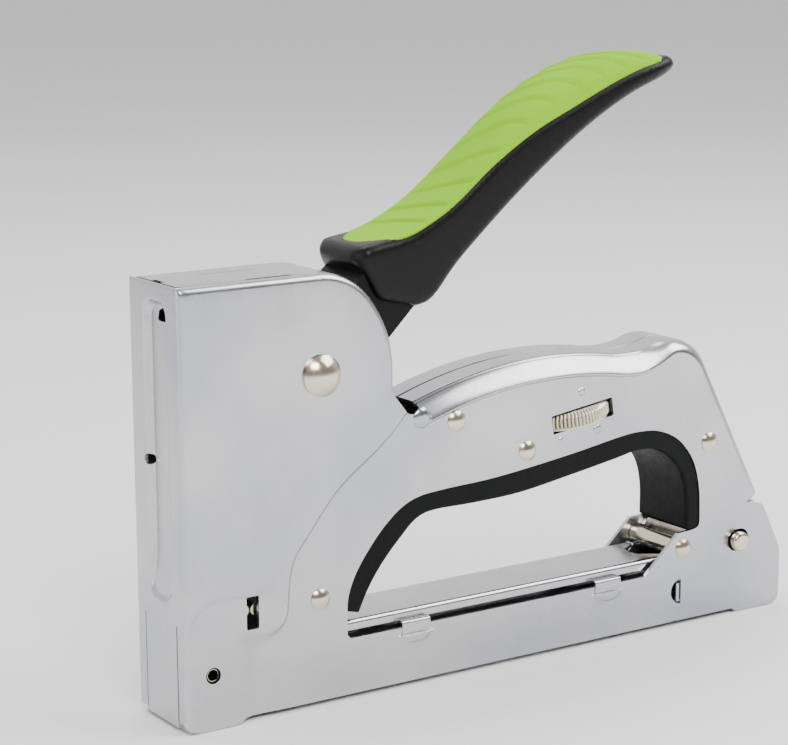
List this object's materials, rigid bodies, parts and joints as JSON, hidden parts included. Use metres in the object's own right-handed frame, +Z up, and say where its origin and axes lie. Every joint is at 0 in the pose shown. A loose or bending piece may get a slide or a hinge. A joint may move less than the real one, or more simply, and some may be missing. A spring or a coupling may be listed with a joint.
{
  "type": "staple gun",
  "caption": "Hand staple gun with pivoting squeeze handle, sheet-steel body with hand hole, rear-loading magazine, spring driver and force thumbwheel.",
  "frame": {"origin": "on the ground under the middle of the tool's length and width, standing on its nose and tail", "axes": "+X from the nose to the tail, +Y to the tool's right-hand shell, +Z up"},
  "size_m": [0.206, 0.0324, 0.1702],
  "materials": {
    "sheet_steel": "bright satin nickel-chrome plate",
    "rivet_nickel": "bright warm nickel",
    "wheel_nickel": "knurled warm nickel",
    "tool_steel": "hardened, ground",
    "spring_steel": "drawn wire",
    "black_steel": "black oxide",
    "grip_black": "soft matt moulding",
    "pad_green": "matt soft-touch",
    "liner_rubber": "matt moulded",
    "bumper_rubber": "matt",
    "tail_plastic": "matt moulded"
  },
  "bodies": {
    "body": {"left_shell": "sheet_steel", "right_shell": "sheet_steel", "nose_guide": "tool_steel", "nose_pin": "black_steel", "spring_seat": "tool_steel", "bumper": "bumper_rubber", "pivot_pin": "rivet_nickel", "pivot_sleeve": "tool_steel", "body_rivets": "rivet_nickel", "spacer_sleeves": "rivet_nickel", "cross_rods": "rivet_nickel", "grip_liner": "liner_rubber", "magazine_cover": "sheet_steel", "adjuster_bracket": "tool_steel", "latch_bracket": "sheet_steel", "main_spring": "spring_steel", "latch_spring": "spring_steel"},
    "handle": {"handle_lever": "black_steel", "handle_grip": "grip_black", "handle_pad": "pad_green", "return_spring": "spring_steel"},
    "driver": {"plunger": "tool_steel", "driver_blade": "tool_steel", "blade_rivet": "rivet_nickel"},
    "magazine": {"staple_channel": "sheet_steel", "staple_rail": "sheet_steel", "pusher_rod": "rivet_nickel", "tail_block": "tail_plastic", "pusher_spring": "spring_steel"},
    "pusher": {"pusher": "tool_steel"},
    "latch": {"latch_pin": "rivet_nickel"},
    "wheel": {"thumbwheel": "wheel_nickel", "adjuster_spindle": "tool_steel"},
    "adjuster": {"adjuster_block": "tool_steel"},
    "force_lever": {"force_lever": "tool_steel"}
  },
  "joints": [
    {"name": "handle_press", "type": "hinge", "parent": "body", "child": "handle", "pos_m": [-0.0612, 0, 0.0902], "axis": [0, 1, 0], "range_deg": [0, 34], "stiffness_Nm_per_rad": 0.8, "springref_deg": -28.65, "deforming": ["return_spring"]},
    {"name": "driver_lift", "type": "slide", "parent": "body", "child": "driver", "axis": [0, 0, 1], "range_m": [0, 0.0143], "deforming": ["main_spring"]},
    {"name": "magazine_pull", "type": "slide", "parent": "body", "child": "magazine", "axis": [1, 0, 0], "range_m": [0, 0.11]},
    {"name": "pusher_slide", "type": "slide", "parent": "magazine", "child": "pusher", "axis": [1, 0, 0], "range_m": [0, 0.13], "stiffness_N_per_m": 20, "springref_m": -0.05, "deforming": ["pusher_spring"]},
    {"name": "latch_slide", "type": "slide", "parent": "body", "child": "latch", "axis": [1, 0, 0], "range_m": [0, 0.0015], "stiffness_N_per_m": 800, "springref_m": -0.002, "deforming": ["latch_spring"]},
    {"name": "wheel_turn", "type": "hinge", "parent": "body", "child": "wheel", "pos_m": [0.0263, 0, 0.06815], "axis": [-0.1357, 0, 0.9907], "range_deg": [0, 360]},
    {"name": "adjuster_lift", "type": "slide", "parent": "body", "child": "adjuster", "axis": [-0.1357, 0, 0.9907], "range_m": [0, 0.0021]},
    {"name": "force_lever_tilt", "type": "hinge", "parent": "body", "child": "force_lever", "pos_m": [-0.0174, 0, 0.0722], "axis": [0, 1, 0], "range_deg": [-3.8, 0]}
  ],
  "couplings": [
    {"joint": "driver_lift", "follows": "handle_press", "m_per_rad": 0.023795},
    {"joint": "adjuster_lift", "follows": "wheel_turn", "m_per_rad": 0.00031831},
    {"joint": "force_lever_tilt", "follows": "wheel_turn", "ratio": -0.0095589}
  ]
}
